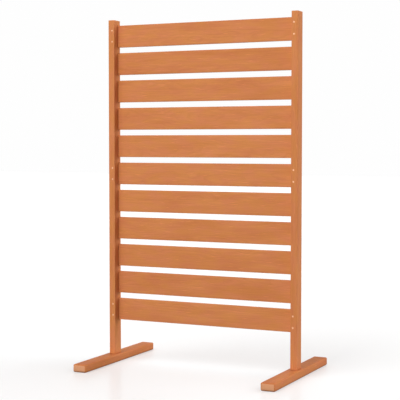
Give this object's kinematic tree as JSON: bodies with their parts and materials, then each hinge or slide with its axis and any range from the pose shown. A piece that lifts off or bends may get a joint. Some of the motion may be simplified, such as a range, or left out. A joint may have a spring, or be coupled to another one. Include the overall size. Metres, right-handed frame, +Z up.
{
  "type": "garden privacy screen",
  "caption": "Free-standing slatted wooden privacy screen: flat horizontal slats with open gaps, housed between two posts on long bar feet.",
  "frame": {"origin": "on the ground, midway between the posts and midway along the feet", "axes": "+X to the right seen from the front, +Y to the back, +Z up; the screw heads face -Y"},
  "size_m": [1.038, 0.694, 1.7],
  "materials": {
    "slat_wood": "oiled, orange-brown",
    "post_wood": "oiled, orange-brown",
    "foot_wood": "oiled, orange-brown",
    "zinc_steel": "yellow zinc plated"
  },
  "bodies": {
    "root": {"left_post": "post_wood", "left_foot": "foot_wood", "left_coach_screws": "zinc_steel", "left_coach_washers": "zinc_steel", "left_bottom_slat_screws": "zinc_steel", "left_middle_slat_screws": "zinc_steel", "left_top_slat_screws": "zinc_steel", "right_post": "post_wood", "right_foot": "foot_wood", "right_coach_screws": "zinc_steel", "right_coach_washers": "zinc_steel", "right_bottom_slat_screws": "zinc_steel", "right_middle_slat_screws": "zinc_steel", "right_top_slat_screws": "zinc_steel", "slat_01": "slat_wood", "slat_02": "slat_wood", "slat_03": "slat_wood", "slat_04": "slat_wood", "slat_05": "slat_wood", "slat_06": "slat_wood", "slat_07": "slat_wood", "slat_08": "slat_wood", "slat_09": "slat_wood", "slat_10": "slat_wood", "slat_11": "slat_wood"}
  },
  "joints": []
}
